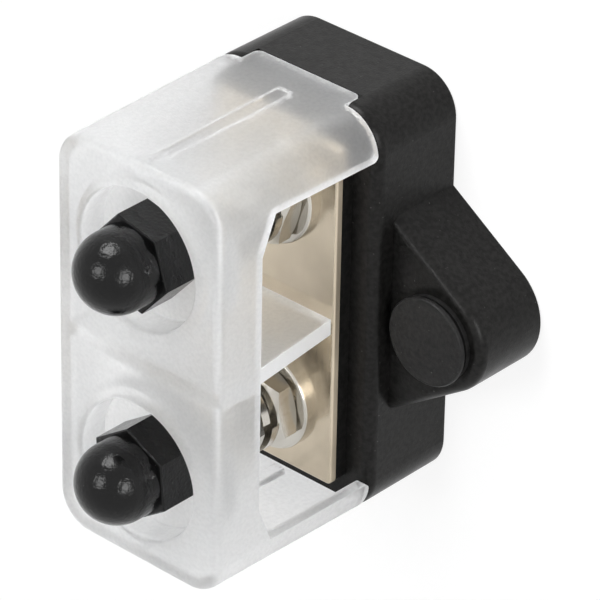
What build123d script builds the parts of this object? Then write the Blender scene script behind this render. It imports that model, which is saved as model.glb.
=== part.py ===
from build123d import *
import math
import os

# Insulated power terminal with two studs on one bus plate, in millimetres.
# +Z runs along the studs, out of the mounting face. +Y is the long side, +X runs across the ears.
# The origin is the middle of the mounting face.

# Moulded base
base_width = 41.5
base_length = 84.5
base_height = 21.2
base_corner_radius = 8.0
base_shoulder_radius = 2.0
base_back_radius = 0.5
base_wall = 3.0
base_core_floor = 8.2
base_core_rib = 3.0
base_core_radius = 1.5
head_boss_wall = 3.2
pad_height = 2.7
pad_corner_radius = 1.0

# Mounting ears
ear_offset = 10.5
ear_rim_width = 2.5
ear_root_length = 41.0
ear_drop = 4.6
ear_edge_radius = 1.8
screw_hole_diameter = 8.5
screw_seat_height = 6.0
counterbore_diameter = 15.4

# Plug caps over the mounting screws: a disc, a groove under it and a ring that seats on the ear
plug_lip = 1.0
plug_thickness = 2.6
plug_disc_thickness = 0.9
plug_edge_radius = 0.4
plug_ring_lip = 0.7
plug_ring_height = 0.9
plug_skirt_length = 4.5
plug_skirt_wall = 1.3
plug_clearance = 0.05

# Bus plate
plate_side_margin = 5.85
plate_end_margin = 6.95
plate_thickness = 1.5
plate_edge_radius = 0.5

# Studs: hexagon head screws whose heads sit in pockets in the back of the base
stud_end_distance = 20.25
stud_diameter = 10.0
stud_engagement = 12.8
stud_end_chamfer = 1.0
stud_head_height = 6.4
stud_head_recess = 1.6
stud_hole_clearance = 0.1
head_pocket_clearance = 0.2
thread_clearance = 0.05

# Hardware on the studs
hex_size = 16.0
hex_chamfer_angle = 30.0
hex_face_ratio = 0.95
washer_diameter = 20.4
washer_thickness = 1.8
washer_edge_radius = 0.6
washer_hole_clearance = 0.25
clamp_nut_height = 4.8
clamp_nut_turn_upper = 12.7
clamp_nut_turn_lower = 40.7
lock_washer_section = 2.75
lock_washer_thickness = 1.8
lock_washer_rise = 2.3
lock_washer_turn = 350.0
lock_washer_start = 95.0
lug_nut_height = 8.0
lug_nut_turn_upper = 25.0
lug_nut_turn_lower = 5.0
seat_clearance = 0.05

# Cover
cover_depth = 39.8
cover_wall = 2.3
cover_draft = 1.07
cover_front_radius = 1.8
tongue_side_margin = 0.25
tongue_length = 4.4
tongue_corner_radius = 1.5
tongue_clearance = 0.2
window_end_column = 8.25
window_front_band = 10.6
window_slope_length = 7.7
window_slope_depth = 3.2
window_corner_radius = 1.2
web_thickness = 3.2
web_plate_gap = 1.6
web_side_margin = 0.7
web_wall_overlap = 0.3
well_diameter = 27.6
well_depth = 5.8
well_edge_radius = 0.6
well_hole_clearance = 0.4
rib_width = 3.0
rib_height = 1.2
rib_start = 1.8

# Cap nuts
cap_hex_size = 16.4
cap_hex_height = 7.7
cap_dome_diameter = 15.6
cap_hex_edge = 0.25
cap_neck_height = 3.2
cap_turn_upper = 48.2
cap_turn_lower = 34.6
cap_tip_clearance = 1.3
insert_wall = 1.2
insert_length = 10.0
insert_recess = 0.4
insert_end_chamfer = 0.6

# Widths and lengths worked out from the sizes above
plate_width = base_width - 2 * plate_side_margin
plate_length = base_length - 2 * plate_end_margin
stud_spacing = base_length - 2 * stud_end_distance
plug_diameter = counterbore_diameter + 2 * plug_lip
ear_reach = base_width / 2 + ear_offset
ear_radius = plug_diameter / 2 + ear_rim_width
insert_diameter = stud_diameter + 2 * insert_wall
lock_washer_bore = stud_diameter + 2 * washer_hole_clearance
window_length = base_length - 2 * window_end_column
tongue_width = base_width - 2 * (base_corner_radius + tongue_side_margin)
web_back_width = plate_width + 2 * web_side_margin

# Levels along the studs, worked out from the sizes above
base_core_depth = base_height - base_core_floor
ear_height = base_height - ear_drop
plate_seat = base_height + pad_height
plate_top = plate_seat + plate_thickness
washer_top = plate_top + washer_thickness
clamp_nut_top = washer_top + clamp_nut_height
lock_washer_seat = clamp_nut_top + seat_clearance
lug_nut_seat = lock_washer_seat + lock_washer_rise + lock_washer_thickness + seat_clearance
head_seat = stud_head_recess + stud_head_height
cover_front = base_height + cover_depth
well_floor = cover_front - well_depth
stud_end = well_floor + stud_engagement
cap_neck_top = well_floor + cap_hex_height + cap_neck_height
cap_top = cap_neck_top + cap_dome_diameter / 2
window_front = cover_front - window_front_band
plug_disc_seat = ear_height + plug_thickness - plug_disc_thickness
stud_rows = {"upper": stud_spacing / 2, "lower": -stud_spacing / 2}
ear_sides = {"right": ear_reach, "left": -ear_reach}
stud_places = [(0, y) for y in stud_rows.values()]
ear_places = [(x, 0) for x in ear_sides.values()]


def cover_half(outer_size, level):
    """Half of an outer size of the cover at a level, drawn in by the mould's draft."""
    return outer_size / 2 - (level - base_height) * math.tan(math.radians(cover_draft))


def window_outline():
    """Side window of the cover, open to the rim, with sloping front corners and rounded rim corners."""
    side = window_length / 2
    radius = window_corner_radius
    arc_middle = radius * (1 - math.sqrt(0.5))
    with BuildLine() as outline:
        Polyline(
            (side, base_height + radius),
            (side, window_front - window_slope_depth),
            (side - window_slope_length, window_front),
            (window_slope_length - side, window_front),
            (-side, window_front - window_slope_depth),
            (-side, base_height + radius),
        )
        ThreePointArc(
            (-side, base_height + radius),
            (-side - arc_middle, base_height + arc_middle),
            (-side - radius, base_height),
        )
        Line((-side - radius, base_height), (side + radius, base_height))
        ThreePointArc(
            (side + radius, base_height),
            (side + arc_middle, base_height + arc_middle),
            (side, base_height + radius),
        )
    make_face(outline.edges())


def chamfered_hex_profile(size, height):
    """Half section whose revolved solid trims the corners of a hexagon at both ends."""
    corner = size / math.sqrt(3)
    face = hex_face_ratio * size / 2
    drop = (corner - face) * math.tan(math.radians(hex_chamfer_angle))
    with BuildLine() as outline:
        Polyline(
            (0, 0),
            (face, 0),
            (corner, drop),
            (corner, height - drop),
            (face, height),
            (0, height),
            close=True,
        )
    make_face(outline.edges())


def make_nut(name, y, seat, height, turn):
    """Hexagon nut on a stud, with both ends chamfered."""
    with BuildPart() as nut:
        with BuildSketch(Plane((0, y, seat))):
            RegularPolygon(hex_size / 2, 6, major_radius=False, rotation=turn)
        extrude(amount=height)
        with BuildSketch(Plane((0, y, seat), x_dir=(1, 0, 0), z_dir=(0, -1, 0))):
            chamfered_hex_profile(hex_size, height)
        revolve(axis=Axis((0, y, seat), (0, 0, 1)), mode=Mode.INTERSECT)
        with BuildSketch(Plane((0, y, seat))):
            Circle(stud_diameter / 2 + thread_clearance)
        extrude(amount=height, mode=Mode.SUBTRACT)
    nut.part.label = name
    return nut.part


def make_stud(name, y):
    """Hexagon head screw, head down in the base."""
    with BuildPart() as stud:
        with BuildSketch(Plane((0, y, stud_head_recess))):
            RegularPolygon(hex_size / 2, 6, major_radius=False)
        extrude(amount=stud_head_height)
        with BuildSketch(Plane((0, y, stud_head_recess), x_dir=(1, 0, 0), z_dir=(0, -1, 0))):
            chamfered_hex_profile(hex_size, stud_head_height)
        revolve(axis=Axis((0, y, stud_head_recess), (0, 0, 1)), mode=Mode.INTERSECT)
        with BuildSketch(Plane((0, y, head_seat))):
            Circle(stud_diameter / 2)
        extrude(amount=stud_end - head_seat)
        chamfer(stud.edges().sort_by(Axis.Z)[-1], stud_end_chamfer)
    stud.part.label = name
    return stud.part


def make_flat_washer(name, y):
    """Stamped flat washer, rounded along its front edge."""
    with BuildPart() as washer:
        with BuildSketch(Plane((0, y, plate_top))):
            Circle(washer_diameter / 2)
        extrude(amount=washer_thickness)
        fillet(washer.edges().sort_by(Axis.Z)[-1], washer_edge_radius)
        with BuildSketch(Plane((0, y, plate_top))):
            Circle(stud_diameter / 2 + washer_hole_clearance)
        extrude(amount=washer_thickness, mode=Mode.SUBTRACT)
    washer.part.label = name
    return washer.part


def make_lock_washer(name, y):
    """Split spring washer: one turn of a flat-sided coil that springs open at its split."""
    middle = (lock_washer_bore + lock_washer_section) / 2
    rise = lock_washer_rise * lock_washer_turn / 360
    centre = (0, y, lock_washer_seat + lock_washer_thickness / 2)
    coil_plane = Plane(centre).rotated((0, 0, -lock_washer_start))
    with BuildPart() as washer:
        with BuildLine(coil_plane) as coil:
            Helix(lock_washer_rise, rise, middle, lefthand=True)
        with BuildSketch(Plane(coil.line @ 0, x_dir=(coil.line @ 0) - Vector(centre), z_dir=coil.line % 0)):
            Rectangle(lock_washer_section, lock_washer_thickness)
        sweep(path=coil.line, is_frenet=True)
    washer.part.label = name
    return washer.part


def make_cap_nut(name, y, turn):
    """Black domed cap nut, with a stepped blind bore for its threaded insert."""
    base_plane = Plane((0, y, well_floor))
    side_plane = Plane((0, y, well_floor), x_dir=(1, 0, 0), z_dir=(0, -1, 0))
    dome_radius = cap_dome_diameter / 2
    neck_end = cap_neck_top - well_floor
    bore_end = stud_end + cap_tip_clearance - well_floor
    with BuildPart() as cap:
        with BuildSketch(base_plane):
            RegularPolygon(cap_hex_size / 2, 6, major_radius=False, rotation=turn)
        extrude(amount=cap_hex_height)
        chamfer(cap.edges().group_by(Axis.Z)[-1], cap_hex_edge)
        with BuildSketch(side_plane):
            with BuildLine():
                Line((0, 0), (dome_radius, 0))
                Line((dome_radius, 0), (dome_radius, neck_end))
                RadiusArc((dome_radius, neck_end), (0, neck_end + dome_radius), -dome_radius)
                Line((0, neck_end + dome_radius), (0, 0))
            make_face()
        revolve(axis=Axis((0, y, well_floor), (0, 0, 1)))
        with BuildSketch(base_plane):
            Circle(insert_diameter / 2)
        extrude(amount=insert_recess + insert_length, mode=Mode.SUBTRACT)
        with BuildSketch(base_plane):
            Circle(stud_diameter / 2 + thread_clearance)
        extrude(amount=bore_end, mode=Mode.SUBTRACT)
    cap.part.label = name
    return cap.part


def make_cap_insert(name, y):
    """Threaded metal sleeve moulded into a cap nut."""
    with BuildPart() as insert:
        with BuildSketch(Plane((0, y, well_floor + insert_recess))):
            Circle(insert_diameter / 2)
            Circle(stud_diameter / 2 + thread_clearance, mode=Mode.SUBTRACT)
        extrude(amount=insert_length)
        mouth = insert.edges().group_by(Axis.Z)[0].sort_by(SortBy.RADIUS)[0]
        chamfer(mouth, insert_end_chamfer)
    insert.part.label = name
    return insert.part


def make_plug_cap(name, x):
    """Round plug with a groove under its disc and a hollow skirt that fits a screw's counterbore."""
    skirt_radius = counterbore_diameter / 2 - plug_clearance
    with BuildPart() as plug:
        with BuildSketch(Plane((x, 0, plug_disc_seat))):
            Circle(plug_diameter / 2)
        extrude(amount=plug_disc_thickness)
        fillet(plug.edges().sort_by(Axis.Z)[-1], plug_edge_radius)
        with BuildSketch(Plane((x, 0, ear_height))):
            Circle(skirt_radius)
        extrude(amount=plug_disc_seat - ear_height)
        with BuildSketch(Plane((x, 0, ear_height))):
            Circle(counterbore_diameter / 2 + plug_ring_lip)
        extrude(amount=plug_ring_height)
        with BuildSketch(Plane((x, 0, ear_height))):
            Circle(skirt_radius)
            Circle(skirt_radius - plug_skirt_wall, mode=Mode.SUBTRACT)
        extrude(amount=-plug_skirt_length)
    plug.part.label = name
    return plug.part


# Mounting ear: a boss drawn tangent from the side of the base
with BuildPart() as ear:
    with BuildSketch():
        with Locations((ear_reach, 0)):
            Circle(ear_radius)
        with Locations((base_width / 2 - base_wall, 0)):
            Rectangle(2 * base_wall, ear_root_length)
        make_hull()
    extrude(amount=ear_height)
    ear_front_edges = ear.edges().group_by(Axis.Z)[-1].filter_by(lambda e: e.center().X > base_width / 2)
    fillet(ear_front_edges, ear_edge_radius)

# Moulded base, cored from the back
with BuildPart() as base:
    with BuildSketch():
        RectangleRounded(base_width, base_length, base_corner_radius)
    extrude(amount=base_height)
    fillet(base.edges().group_by(Axis.Z)[-1], base_shoulder_radius)
    add(ear.part)
    add(ear.part.mirror(Plane.YZ))
    fillet(base.edges().group_by(Axis.Z)[0], base_back_radius)
    with BuildSketch(Plane.XY.offset(base_height)):
        RectangleRounded(plate_width, plate_length, pad_corner_radius)
    extrude(amount=pad_height)
    with BuildSketch():
        RectangleRounded(
            base_width - 2 * base_wall,
            base_length - 2 * base_wall,
            base_corner_radius - base_wall,
        )
        with Locations(*stud_places):
            Circle(hex_size / math.sqrt(3) + head_boss_wall, mode=Mode.SUBTRACT)
        Rectangle(base_core_rib, base_length, mode=Mode.SUBTRACT)
        Rectangle(base_width, base_core_rib, mode=Mode.SUBTRACT)
        offset(amount=-base_core_radius, mode=Mode.REPLACE)
        offset(amount=base_core_radius, mode=Mode.REPLACE)
    extrude(amount=base_core_depth, mode=Mode.SUBTRACT)
    with BuildSketch():
        with Locations(*stud_places):
            RegularPolygon(hex_size / 2 + head_pocket_clearance, 6, major_radius=False)
    extrude(amount=head_seat, mode=Mode.SUBTRACT)
    with BuildSketch():
        with Locations(*stud_places):
            Circle(stud_diameter / 2 + stud_hole_clearance)
    extrude(amount=plate_seat, mode=Mode.SUBTRACT)
    with BuildSketch():
        with Locations(*ear_places):
            Circle(screw_hole_diameter / 2)
    extrude(amount=ear_height, mode=Mode.SUBTRACT)
    with BuildSketch(Plane.XY.offset(screw_seat_height)):
        with Locations(*ear_places):
            Circle(counterbore_diameter / 2)
    extrude(amount=ear_height - screw_seat_height, mode=Mode.SUBTRACT)
    with BuildSketch(Plane.XY.offset(base_height - tongue_length - tongue_clearance)):
        with Locations((0, base_length / 2), (0, -base_length / 2)):
            Rectangle(tongue_width + 2 * tongue_clearance, 2 * (cover_wall + tongue_clearance))
    extrude(amount=tongue_length + tongue_clearance, mode=Mode.SUBTRACT)
base.part.label = "base"

# Bus plate that links the studs
with BuildPart() as bus_plate:
    with BuildSketch(Plane.XY.offset(plate_seat)):
        RectangleRounded(plate_width, plate_length, pad_corner_radius)
        with Locations(*stud_places):
            Circle(stud_diameter / 2 + washer_hole_clearance, mode=Mode.SUBTRACT)
    extrude(amount=plate_thickness)
    fillet(bus_plate.faces().sort_by(Axis.Z)[-1].outer_wire().edges(), plate_edge_radius)
bus_plate.part.label = "bus_plate"

# Frosted cover: drafted shell, side windows, parting web and two wells for the cap nuts
with BuildPart() as cover:
    with BuildSketch(Plane.XY.offset(base_height)):
        RectangleRounded(base_width, base_length, base_corner_radius)
    extrude(amount=cover_depth, taper=cover_draft)
    fillet(cover.edges().group_by(Axis.Z)[-1], cover_front_radius)
    with BuildSketch(Plane.XY.offset(base_height)):
        RectangleRounded(
            base_width - 2 * cover_wall,
            base_length - 2 * cover_wall,
            base_corner_radius - cover_wall,
        )
    extrude(amount=cover_depth - cover_wall, taper=cover_draft, mode=Mode.SUBTRACT)
    with BuildSketch(Plane.YZ):
        window_outline()
    extrude(amount=base_width, both=True, mode=Mode.SUBTRACT)
    with BuildSketch(Plane.XZ):
        web_front_half = cover_half(base_width, window_front) - cover_wall + web_wall_overlap
        with BuildLine():
            Polyline(
                (-web_back_width / 2, plate_top + web_plate_gap),
                (web_back_width / 2, plate_top + web_plate_gap),
                (web_front_half, window_front),
                (web_front_half, cover_front - cover_wall / 2),
                (-web_front_half, cover_front - cover_wall / 2),
                (-web_front_half, window_front),
                close=True,
            )
        make_face()
    extrude(amount=web_thickness / 2, both=True)
    with BuildSketch(Plane.XY.offset(base_height + rib_start)):
        with Locations((0, base_length / 2 - cover_wall), (0, cover_wall - base_length / 2)):
            RectangleRounded(rib_width, 2 * rib_height, rib_height / 2)
    extrude(amount=cover_front - cover_wall - base_height - rib_start)
    with BuildSketch(Plane.XY.offset(well_floor - cover_wall)):
        with Locations(*stud_places):
            Circle(well_diameter / 2 + cover_wall)
    extrude(amount=well_depth)
    with BuildSketch(Plane.XY.offset(well_floor)):
        with Locations(*stud_places):
            Circle(well_diameter / 2)
    extrude(amount=well_depth, mode=Mode.SUBTRACT)
    well_mouths = cover.edges().filter_by(GeomType.CIRCLE).filter_by_position(Axis.Z, cover_front, cover_front)
    fillet(well_mouths, well_edge_radius)
    with BuildSketch(Plane.XY.offset(well_floor - cover_wall)):
        with Locations(*stud_places):
            Circle(stud_diameter / 2 + well_hole_clearance)
    extrude(amount=cover_wall, mode=Mode.SUBTRACT)
    with BuildSketch(Plane.XY.offset(base_height - tongue_length)):
        with Locations((0, base_length / 2 - cover_wall / 2), (0, cover_wall / 2 - base_length / 2)):
            Rectangle(tongue_width, cover_wall)
    extrude(amount=tongue_length)
    tongue_corners = cover.edges().filter_by(Axis.Y).group_by(Axis.Z)[0]
    fillet(tongue_corners, tongue_corner_radius)
cover.part.label = "cover"

clamp_nut_turns = {"upper": clamp_nut_turn_upper, "lower": clamp_nut_turn_lower}
lug_nut_turns = {"upper": lug_nut_turn_upper, "lower": lug_nut_turn_lower}
cap_turns = {"upper": cap_turn_upper, "lower": cap_turn_lower}

os.makedirs("parts", exist_ok=True)
export_step(base.part, "parts/base.step")
export_step(bus_plate.part, "parts/bus_plate.step")
export_step(cover.part, "parts/cover.step")
for row, y in stud_rows.items():
    pieces = [
        make_stud(f"stud_{row}", y),
        make_flat_washer(f"flat_washer_{row}", y),
        make_nut(f"clamp_nut_{row}", y, washer_top, clamp_nut_height, clamp_nut_turns[row]),
        make_lock_washer(f"lock_washer_{row}", y),
        make_nut(f"lug_nut_{row}", y, lug_nut_seat, lug_nut_height, lug_nut_turns[row]),
        make_cap_nut(f"cap_nut_{row}", y, cap_turns[row]),
        make_cap_insert(f"cap_insert_{row}", y),
    ]
    for piece in pieces:
        export_step(piece, f"parts/{piece.label}.step")
for side, x in ear_sides.items():
    plug_cap = make_plug_cap(f"plug_cap_{side}", x)
    export_step(plug_cap, f"parts/{plug_cap.label}.step")
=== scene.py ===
import math

import bpy
from mathutils import Matrix, Vector


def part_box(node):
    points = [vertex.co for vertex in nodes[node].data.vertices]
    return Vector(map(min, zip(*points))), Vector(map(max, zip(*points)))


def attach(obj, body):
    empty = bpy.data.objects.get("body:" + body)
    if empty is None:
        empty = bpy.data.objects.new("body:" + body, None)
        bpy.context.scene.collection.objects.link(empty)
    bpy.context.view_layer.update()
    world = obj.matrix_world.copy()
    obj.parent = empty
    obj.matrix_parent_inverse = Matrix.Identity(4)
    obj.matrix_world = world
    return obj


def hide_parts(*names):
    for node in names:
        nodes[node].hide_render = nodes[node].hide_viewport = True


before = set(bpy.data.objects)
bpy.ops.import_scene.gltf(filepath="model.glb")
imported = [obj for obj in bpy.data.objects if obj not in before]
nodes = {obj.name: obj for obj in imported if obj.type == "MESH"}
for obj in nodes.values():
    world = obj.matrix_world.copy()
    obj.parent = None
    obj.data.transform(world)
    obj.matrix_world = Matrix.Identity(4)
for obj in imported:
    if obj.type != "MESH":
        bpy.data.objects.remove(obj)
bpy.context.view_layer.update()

# Camera at the photograph's viewing angle
CAMERA_PLACE = Vector((0.50691, 0.45510, 0.58024))
CAMERA_RIGHT = Vector((0.735563, 0.017051, -0.677242))
CAMERA_UP = Vector((-0.362453, 0.854477, -0.372154))
CAMERA_BACK = Vector((0.572349, 0.519214, 0.634692))
LENS = 289.72
SENSOR_WIDTH = 36
CLIP_START = 0.05
CLIP_END = 10

# Soft square lamps: name, direction from the object, width and power
LAMPS = (
    ("top_light", (-0.20, 0.96, 0.21), 0.42, 5.3),
    ("front_light", (-0.10, 0.36, 0.92), 0.33, 2.35),
    ("side_light", (0.87, 0.26, 0.38), 0.36, 3.3),
)
LAMP_AIM = Vector((0, 0, 0.035))
LAMP_DISTANCE = 0.9

# Surrounding and floor
WHITE = (1, 1, 1, 1)
WORLD_STRENGTH = 0.38
FLOOR_HALF = 3.0
FLOOR_COLOUR = (0.84, 0.84, 0.84, 1)
FLOOR_ROUGHNESS = 0.8
FLOOR_WHITE = 1.16
FLOOR_SHADOW_SHARE = 0.3

# Spans of noise that are spread over a whole range, plain and with more contrast
PLAIN_LOW = 0.3
PLAIN_HIGH = 0.7
SHARP_LOW = 0.36
SHARP_HIGH = 0.64

# Noise patterns: scale and octaves
MOTTLE = (1100, 4)
SPECKS = (1900, 0)
BLACK_PATCHES = (260, 4)
METAL_PATCHES = (120, 3)
METAL_MARKS = (1500, 3)
FROST_GRAIN = (1300, 3)
FROST_PATCHES = (700, 4)
FROST_RELIEF = (2900, 2)
MILK_CLOUDS = (1500, 3)

# Black plastics
BASE_BLACK = dict(
    dark=(0.0050, 0.0048, 0.0045),
    light=(0.0125, 0.0121, 0.0116),
    rough=0.33,
    gloss=0.15,
    grain=(3000, 3),
    grain_depth=0.00006,
)
PLUG_BLACK = dict(
    dark=(0.0115, 0.0113, 0.0113),
    light=(0.0195, 0.0191, 0.0189),
    rough=0.38,
    gloss=0.16,
    grain=(3000, 3),
    grain_depth=0.00007,
)
CAP_BLACK = dict(
    dark=(0.0018, 0.0018, 0.0019),
    light=(0.0032, 0.0032, 0.0033),
    rough=0.16,
    gloss=0.26,
    grain=(1500, 3),
    grain_depth=0.00017,
)
BLACK_ROUGH_SPAN = 0.05
BLACK_GRAIN_STRENGTH = 0.55
SPECK_COLOUR = (0.16, 0.155, 0.15, 1)
SPECK_LOW = 0.85
SPECK_HIGH = 0.89
SPECK_SHARE = 0.4

# Metals
NICKEL = dict(
    dark=(0.56, 0.485, 0.375),
    light=(0.65, 0.565, 0.445),
    rough=0.24,
    side_rough=0.55,
    stretch=(1, 0.12, 1),
)
STAINLESS = dict(
    dark=(0.50, 0.475, 0.43),
    light=(0.62, 0.595, 0.545),
    rough=0.20,
    side_rough=0.20,
    stretch=(1, 1, 0.3),
)
BRASS = dict(
    dark=(0.70, 0.50, 0.22),
    light=(0.80, 0.60, 0.30),
    rough=0.26,
    side_rough=0.26,
    stretch=(1, 1, 0.2),
)
MARK_SPAN = 0.03
SIDE_UPWARD = 0.3
FACE_UPWARD = 0.8

# Frosted plastic, its clear part
FROST_DARK = (0.85, 0.855, 0.86)
FROST_LIGHT = (1, 1, 1)
FROST_IOR = 1.45
FROST_GLOSS = 0.5
FROST_ROUGH_LOW = 0.277
FROST_ROUGH_HIGH = 0.305
FROST_RELIEF_DEPTH = 0.00006
FROST_RELIEF_STRENGTH = 0.6
FROST_SHADOW = (0.85, 0.85, 0.85, 1)

# Frosted plastic, its milky part: share on the faces, which thins towards the base, and a painted
# highlight along the edges and web rims, made of extra milky white there
MILK_COLOUR = (0.95, 0.955, 0.96, 1)
SKIN_SHARE = 0.32
MILK_LOW = 0.13
MILK_HIGH = 0.27
BACK_MILK = 0.60
BACK_HEIGHT = 0.026
FRONT_HEIGHT = 0.054
# Share of milky white along the edges and web rims: a painted highlight
EDGE_PAINTED_HIGHLIGHT = 0.95
EDGE_REACH = 0.0009
EDGE_SAMPLES = 6
EDGE_START = 0.98
EDGE_FULL = 0.80

# Rims of the web between the studs, which get the painted highlight, and where they fade out
WEB_HALF = 0.0017
WEB_HALF_FADE = WEB_HALF * 1.05
WEB_TOP = FRONT_HEIGHT - 0.004
WEB_TOP_FADE = FRONT_HEIGHT - 0.003
WEB_TILT = 0.2
WEB_TILT_FADE = 0.3

# Stud threads, M10 x 1.5, with the profile as shares of the pitch and radii
THREAD_RADIUS = 0.0050
THREAD_ROOT = 0.00410
THREAD_SHOULDER = THREAD_RADIUS - 0.00004
THREAD_CREST = THREAD_RADIUS - 0.00001
THREAD_PROFILE = (
    (0.0, THREAD_ROOT),
    (0.125, THREAD_ROOT),
    (0.5, THREAD_SHOULDER),
    (0.5625, THREAD_CREST),
    (0.625, THREAD_SHOULDER),
)
THREAD_PITCH = 0.0015
THREAD_STEPS = 48
THREAD_START = 0.0215
END_RADIUS = 0.0039

# Stud heads
HEAD_SIDES = 72
HEAD_HEIGHT = 0.0064
HEX_HALF = 0.008
HEX_FACE = 0.0076
HEX_SLOPE = math.tan(math.radians(30))
HEX_TURN = math.pi / 3
HALF_HEX_TURN = math.pi / 6


def add_camera():
    data = bpy.data.cameras.new("camera")
    data.lens = LENS
    data.sensor_width = SENSOR_WIDTH
    data.clip_start = CLIP_START
    data.clip_end = CLIP_END
    camera = bpy.data.objects.new("camera", data)
    turn = Matrix((CAMERA_RIGHT, CAMERA_UP, CAMERA_BACK)).transposed()
    camera.matrix_world = Matrix.Translation(CAMERA_PLACE) @ turn.to_4x4()
    bpy.context.scene.collection.objects.link(camera)
    bpy.context.scene.camera = camera


def add_area_light(name, direction, size, power):
    """A soft square lamp that faces the object from a direction."""
    data = bpy.data.lights.new(name, "AREA")
    data.shape = "SQUARE"
    data.size = size
    data.energy = power
    lamp = bpy.data.objects.new(name, data)
    towards = Vector(direction).normalized()
    lamp.location = LAMP_AIM + towards * LAMP_DISTANCE
    lamp.rotation_euler = towards.to_track_quat("Z", "Y").to_euler()
    bpy.context.scene.collection.objects.link(lamp)


def combine(tree, operation, first, second=None):
    """The result of a sum or comparison on one or two values."""
    node = tree.nodes.new("ShaderNodeMath")
    node.operation = operation
    tree.links.new(first, node.inputs[0])
    if second is not None:
        tree.links.new(second, node.inputs[1])
    return node.outputs[0]


def split_vector(tree, vector):
    """The X, Y and Z of a vector."""
    node = tree.nodes.new("ShaderNodeSeparateXYZ")
    tree.links.new(vector, node.inputs[0])
    return node.outputs


def mix_shaders(tree, under, over):
    """A mix of two shaders, with its share still to be set or linked."""
    node = tree.nodes.new("ShaderNodeMixShader")
    tree.links.new(under, node.inputs[1])
    tree.links.new(over, node.inputs[2])
    return node


def white_to_camera(tree, shaded, out_socket, target):
    """Shows plain white to the camera and in reflections, mixed over the lit shader."""
    path = tree.nodes.new("ShaderNodeLightPath")
    seen = combine(tree, "MAXIMUM", path.outputs["Is Camera Ray"], path.outputs["Is Glossy Ray"])
    through = combine(tree, "MAXIMUM", seen, path.outputs["Is Transmission Ray"])
    mix = mix_shaders(tree, shaded, target)
    tree.links.new(through, mix.inputs[0])
    tree.links.new(mix.outputs[0], out_socket)


def add_world():
    world = bpy.data.worlds.new("studio")
    world.use_nodes = True
    bpy.context.scene.world = world
    tree = world.node_tree
    lit = tree.nodes["Background"]
    lit.inputs["Color"].default_value = WHITE
    lit.inputs["Strength"].default_value = WORLD_STRENGTH
    white = tree.nodes.new("ShaderNodeBackground")
    white.inputs["Color"].default_value = WHITE
    white.inputs["Strength"].default_value = 1
    white_to_camera(tree, lit.outputs[0], tree.nodes["World Output"].inputs["Surface"], white.outputs[0])


def new_material(name):
    material = bpy.data.materials.new(name)
    material.use_nodes = True
    tree = material.node_tree
    return material, tree, tree.nodes["Principled BSDF"]


def add_floor():
    """Pale floor that stays white to the camera and keeps the object's shadow."""
    half = FLOOR_HALF
    mesh = bpy.data.meshes.new("floor")
    corners = [(-half, -half, 0), (half, -half, 0), (half, half, 0), (-half, half, 0)]
    mesh.from_pydata(corners, [], [(0, 1, 2, 3)])
    floor = bpy.data.objects.new("floor", mesh)
    bpy.context.scene.collection.objects.link(floor)
    material, tree, shader = new_material("floor")
    shader.inputs["Base Color"].default_value = FLOOR_COLOUR
    shader.inputs["Roughness"].default_value = FLOOR_ROUGHNESS
    white = tree.nodes.new("ShaderNodeEmission")
    white.inputs["Strength"].default_value = FLOOR_WHITE
    mix = mix_shaders(tree, white.outputs[0], shader.outputs[0])
    mix.inputs[0].default_value = FLOOR_SHADOW_SHARE
    output = tree.nodes["Material Output"].inputs["Surface"]
    white_to_camera(tree, shader.outputs[0], output, mix.outputs[0])
    mesh.materials.append(material)


def noise(tree, pattern, stretch=(1, 1, 1)):
    """Noise over the piece's own metres. A stretch under 1 draws the grain out along that axis."""
    scale, octaves = pattern
    coords = tree.nodes.new("ShaderNodeTexCoord")
    mapping = tree.nodes.new("ShaderNodeMapping")
    mapping.inputs["Scale"].default_value = stretch
    texture = tree.nodes.new("ShaderNodeTexNoise")
    texture.inputs["Scale"].default_value = scale
    texture.inputs["Detail"].default_value = octaves
    tree.links.new(coords.outputs["Object"], mapping.inputs["Vector"])
    tree.links.new(mapping.outputs["Vector"], texture.inputs["Vector"])
    return texture.outputs["Fac"]


def spread(tree, value, low, high, out_low, out_high):
    """Maps a span of values onto another span."""
    node = tree.nodes.new("ShaderNodeMapRange")
    node.inputs["From Min"].default_value = low
    node.inputs["From Max"].default_value = high
    node.inputs["To Min"].default_value = out_low
    node.inputs["To Max"].default_value = out_high
    tree.links.new(value, node.inputs["Value"])
    return node.outputs["Result"]


def varied(tree, pattern, low, high, stretch=(1, 1, 1)):
    """A value that wanders between two others from place to place."""
    return spread(tree, noise(tree, pattern, stretch), PLAIN_LOW, PLAIN_HIGH, low, high)


def tint(tree, value, dark, light):
    """Colour between two tones, chosen by a value."""
    node = tree.nodes.new("ShaderNodeMix")
    node.data_type = "RGBA"
    node.inputs["A"].default_value = (*dark, 1)
    node.inputs["B"].default_value = (*light, 1)
    tree.links.new(value, node.inputs["Factor"])
    return node.outputs["Result"]


def grained_tone(tree, pattern, dark, light):
    """Colour between two tones in a grain with more contrast than plain noise."""
    return tint(tree, spread(tree, noise(tree, pattern), SHARP_LOW, SHARP_HIGH, 0, 1), dark, light)


def speckled(tree, tone):
    """A tone with a few pale specks in it."""
    share = spread(tree, noise(tree, SPECKS), SPECK_LOW, SPECK_HIGH, 0, SPECK_SHARE)
    node = tree.nodes.new("ShaderNodeMix")
    node.data_type = "RGBA"
    node.inputs["B"].default_value = SPECK_COLOUR
    tree.links.new(share, node.inputs["Factor"])
    tree.links.new(tone, node.inputs["A"])
    return node.outputs["Result"]


def bump(tree, height, distance, strength):
    node = tree.nodes.new("ShaderNodeBump")
    node.inputs["Distance"].default_value = distance
    node.inputs["Strength"].default_value = strength
    tree.links.new(height, node.inputs["Height"])
    return node.outputs["Normal"]


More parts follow.
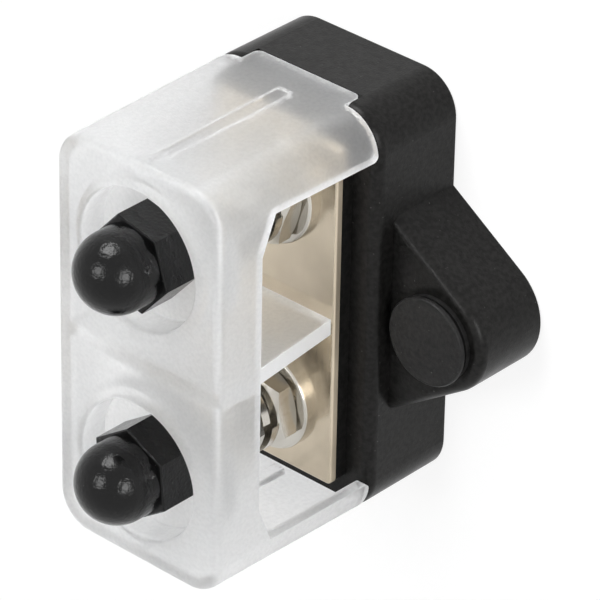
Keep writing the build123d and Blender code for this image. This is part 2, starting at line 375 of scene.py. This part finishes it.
def moulded_black(name, dark, light, rough, gloss, grain, grain_depth):
    """Moulded black plastic with a fine spark-eroded grain, faint mottling and a few pale specks."""
    material, tree, shader = new_material(name)
    shader.inputs["Specular IOR Level"].default_value = gloss
    tone = speckled(tree, grained_tone(tree, MOTTLE, dark, light))
    roughness = varied(tree, BLACK_PATCHES, rough - BLACK_ROUGH_SPAN, rough + BLACK_ROUGH_SPAN)
    fine = bump(tree, noise(tree, grain), grain_depth, BLACK_GRAIN_STRENGTH)
    tree.links.new(tone, shader.inputs["Base Color"])
    tree.links.new(roughness, shader.inputs["Roughness"])
    tree.links.new(fine, shader.inputs["Normal"])
    return material


def edge_mask(tree):
    """One along the outer and inner edges of a piece, and zero on its open faces."""
    rounded = tree.nodes.new("ShaderNodeBevel")
    rounded.samples = EDGE_SAMPLES
    rounded.inputs["Radius"].default_value = EDGE_REACH
    flat = tree.nodes.new("ShaderNodeNewGeometry")
    match = tree.nodes.new("ShaderNodeVectorMath")
    match.operation = "DOT_PRODUCT"
    tree.links.new(rounded.outputs["Normal"], match.inputs[0])
    tree.links.new(flat.outputs["Normal"], match.inputs[1])
    return spread(tree, match.outputs["Value"], EDGE_START, EDGE_FULL, 0, 1)


def web_rim(tree, place):
    """One on the narrow sloping rims of the web between the studs, and zero elsewhere on the cover."""
    flat = tree.nodes.new("ShaderNodeNewGeometry")
    tilt = combine(tree, "ABSOLUTE", split_vector(tree, flat.outputs["Normal"])["Y"])
    from_middle = combine(tree, "ABSOLUTE", place["Y"])
    inside = spread(tree, from_middle, WEB_HALF, WEB_HALF_FADE, 1, 0)
    below = spread(tree, place["Z"], WEB_TOP, WEB_TOP_FADE, 1, 0)
    narrow = spread(tree, tilt, WEB_TILT, WEB_TILT_FADE, 1, 0)
    return combine(tree, "MULTIPLY", combine(tree, "MULTIPLY", inside, below), narrow)


def milk_and_painted_highlight_share(tree):
    """How milky the frosted plastic is: least towards the base, and most along the edges and web rims,
    where the extra milky white is a painted highlight.
    """
    coords = tree.nodes.new("ShaderNodeTexCoord")
    place = split_vector(tree, coords.outputs["Object"])
    thinning = spread(tree, place["Z"], BACK_HEIGHT, FRONT_HEIGHT, BACK_MILK, 1)
    faces = combine(tree, "MULTIPLY", varied(tree, MILK_CLOUDS, MILK_LOW, MILK_HIGH), thinning)
    # Edges and web rims get extra milky white: a painted highlight
    rims = combine(tree, "MAXIMUM", edge_mask(tree), web_rim(tree, place))
    return combine(tree, "MAXIMUM", faces, spread(tree, rims, 0, 1, 0, EDGE_PAINTED_HIGHLIGHT))


def milky_body(tree):
    """The milky part: light that passes through it, and some that its skin scatters back."""
    milk = tree.nodes.new("ShaderNodeBsdfTranslucent")
    milk.inputs["Color"].default_value = MILK_COLOUR
    skin = tree.nodes.new("ShaderNodeBsdfDiffuse")
    skin.inputs["Color"].default_value = MILK_COLOUR
    mix = mix_shaders(tree, milk.outputs[0], skin.outputs[0])
    mix.inputs[0].default_value = SKIN_SHARE
    return mix.outputs[0]


def let_light_through(tree, solid):
    """Joins a shader to the output, with light shadows."""
    path = tree.nodes.new("ShaderNodeLightPath")
    clear = tree.nodes.new("ShaderNodeBsdfTransparent")
    clear.inputs["Color"].default_value = FROST_SHADOW
    mix = mix_shaders(tree, solid, clear.outputs[0])
    tree.links.new(path.outputs["Is Shadow Ray"], mix.inputs[0])
    tree.links.new(mix.outputs[0], tree.nodes["Material Output"].inputs["Surface"])


def frosted_plastic():
    """Clear plastic with a frosted skin and a slightly milky body, made whiter along its edges and web
    rims as a painted highlight.
    """
    material, tree, shader = new_material("frosted_plastic")
    shader.inputs["Transmission Weight"].default_value = 1
    shader.inputs["IOR"].default_value = FROST_IOR
    shader.inputs["Specular IOR Level"].default_value = FROST_GLOSS
    tone = grained_tone(tree, FROST_GRAIN, FROST_DARK, FROST_LIGHT)
    roughness = varied(tree, FROST_PATCHES, FROST_ROUGH_LOW, FROST_ROUGH_HIGH)
    fine = bump(tree, noise(tree, FROST_RELIEF), FROST_RELIEF_DEPTH, FROST_RELIEF_STRENGTH)
    tree.links.new(tone, shader.inputs["Base Color"])
    tree.links.new(roughness, shader.inputs["Roughness"])
    tree.links.new(fine, shader.inputs["Normal"])
    mix = mix_shaders(tree, shader.outputs[0], milky_body(tree))
    tree.links.new(milk_and_painted_highlight_share(tree), mix.inputs[0])
    let_light_through(tree, mix.outputs[0])
    return material


def satin_metal(name, dark, light, rough, side_rough, stretch):
    """Metal with faint drawn marks, slight patches in its tone and a roughness of its own on the sides."""
    material, tree, shader = new_material(name)
    shader.inputs["Metallic"].default_value = 1
    tone = tint(tree, varied(tree, METAL_PATCHES, 0, 1), dark, light)
    marks = varied(tree, METAL_MARKS, -MARK_SPAN, MARK_SPAN, stretch)
    flat = tree.nodes.new("ShaderNodeNewGeometry")
    upward = split_vector(tree, flat.outputs["Normal"])["Z"]
    surface = spread(tree, upward, SIDE_UPWARD, FACE_UPWARD, side_rough, rough)
    tree.links.new(tone, shader.inputs["Base Color"])
    tree.links.new(combine(tree, "ADD", marks, surface), shader.inputs["Roughness"])
    return material


def link_mesh(name, vertices, faces, material):
    mesh = bpy.data.meshes.new(name)
    mesh.from_pydata(vertices, [], faces)
    mesh.materials.append(material)
    piece = bpy.data.objects.new(name, mesh)
    bpy.context.scene.collection.objects.link(piece)
    return piece


def around(y, radius, step, steps, z):
    """A point at one of several even steps round a stud's axis."""
    angle = 2 * math.pi * step / steps
    return radius * math.cos(angle), y + radius * math.sin(angle), z


def head_rings(bottom):
    """Radius and height along the outside of a chamfered hexagon head, as functions of the angle."""
    top = bottom + HEAD_HEIGHT

    def corner(angle):
        return HEX_HALF / math.cos((angle + HALF_HEX_TURN) % HEX_TURN - HALF_HEX_TURN)

    def drop(angle):
        return (corner(angle) - HEX_FACE) * HEX_SLOPE

    return [
        lambda angle: (HEX_FACE, bottom),
        lambda angle: (corner(angle), bottom + drop(angle)),
        lambda angle: (corner(angle), top - drop(angle)),
        lambda angle: (HEX_FACE, top),
        lambda angle: (THREAD_RADIUS, top),
        lambda angle: (THREAD_RADIUS, THREAD_START - THREAD_RADIUS + END_RADIUS),
        lambda angle: (END_RADIUS, THREAD_START),
    ]


def stud_head(y, bottom):
    """Closed hexagon head and plain shank under the thread."""
    rings = head_rings(bottom)
    vertices = []
    for ring in rings:
        for side in range(HEAD_SIDES):
            radius, z = ring(2 * math.pi * side / HEAD_SIDES)
            vertices.append(around(y, radius, side, HEAD_SIDES, z))
    faces = []
    for row in range(len(rings) - 1):
        for side in range(HEAD_SIDES):
            after = (side + 1) % HEAD_SIDES
            low = row * HEAD_SIDES
            high = low + HEAD_SIDES
            faces.append((low + side, low + after, high + after, high + side))
    faces.append(tuple(reversed(range(HEAD_SIDES))))
    faces.append(tuple(range((len(rings) - 1) * HEAD_SIDES, len(rings) * HEAD_SIDES)))
    return vertices, faces


def thread_points(y, top, steps):
    """The thread's profile, repeated at each step up the helix and drawn in at both ends of the thread."""
    points = []
    for step in range(steps):
        level = THREAD_START - THREAD_PITCH + THREAD_PITCH * step / THREAD_STEPS
        for share, radius in THREAD_PROFILE:
            z = min(max(level + share * THREAD_PITCH, THREAD_START), top)
            room = END_RADIUS + min(z - THREAD_START, top - z)
            points.append(around(y, min(radius, room), step, THREAD_STEPS, z))
    return points


def thread_faces(steps):
    """Faces between the profiles, each joined to the next one and to the one a turn above."""
    count = len(THREAD_PROFILE)
    faces = []
    for step in range(steps):
        here = step * count
        after = here + count
        for k in range(count - 1):
            faces.append((here + k, after + k, after + k + 1, here + k + 1))
        up = (step + THREAD_STEPS) * count
        faces.append((here + count - 1, after + count - 1, up + count, up))
    return faces


def thread(y, top):
    """Helical V thread that fades out at both ends, as one strip wound up the stud, and its flat ends."""
    turns = math.ceil((top - THREAD_START) / THREAD_PITCH) + 2
    steps = turns * THREAD_STEPS
    vertices = thread_points(y, top, steps + THREAD_STEPS + 1)
    faces = thread_faces(steps)
    first = len(vertices)
    for z in (THREAD_START, top):
        for side in range(THREAD_STEPS):
            vertices.append(around(y, END_RADIUS, side, THREAD_STEPS, z))
    faces.append(tuple(reversed(range(first, first + THREAD_STEPS))))
    faces.append(tuple(range(first + THREAD_STEPS, first + 2 * THREAD_STEPS)))
    return vertices, faces


def add_stud(row, material):
    """Threaded stud that stands in for the plain one."""
    low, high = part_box(f"stud_{row}")
    y = (low.y + high.y) / 2
    vertices, faces = stud_head(y, low.z)
    more, extra = thread(y, high.z)
    start = len(vertices)
    vertices = vertices + more
    faces = faces + [tuple(start + i for i in face) for face in extra]
    piece = link_mesh(f"threaded_stud_{row}", vertices, faces, material)
    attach(piece, "base")
    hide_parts(f"stud_{row}")


def dress(node, material):
    """Gives a solid its finished material."""
    for slot in nodes[node].material_slots:
        slot.link = "OBJECT"
        slot.material = material


add_camera()
add_world()
add_floor()
for lamp in LAMPS:
    add_area_light(*lamp)

base_black = moulded_black("black_nylon", **BASE_BLACK)
plug_black = moulded_black("plug_plastic", **PLUG_BLACK)
cap_black = moulded_black("cap_plastic", **CAP_BLACK)
frosted = frosted_plastic()
nickel = satin_metal("nickel_plate", **NICKEL)
stainless = satin_metal("stainless", **STAINLESS)
brass = satin_metal("brass", **BRASS)

dress("base", base_black)
dress("bus_plate", nickel)
dress("cover", frosted)
for side in ("right", "left"):
    dress(f"plug_cap_{side}", plug_black)
for row in ("upper", "lower"):
    for kind in ("flat_washer", "clamp_nut", "lock_washer", "lug_nut"):
        dress(f"{kind}_{row}", stainless)
    dress(f"cap_nut_{row}", cap_black)
    dress(f"cap_insert_{row}", brass)
    add_stud(row, stainless)

bpy.context.scene.view_settings.view_transform = "Standard"
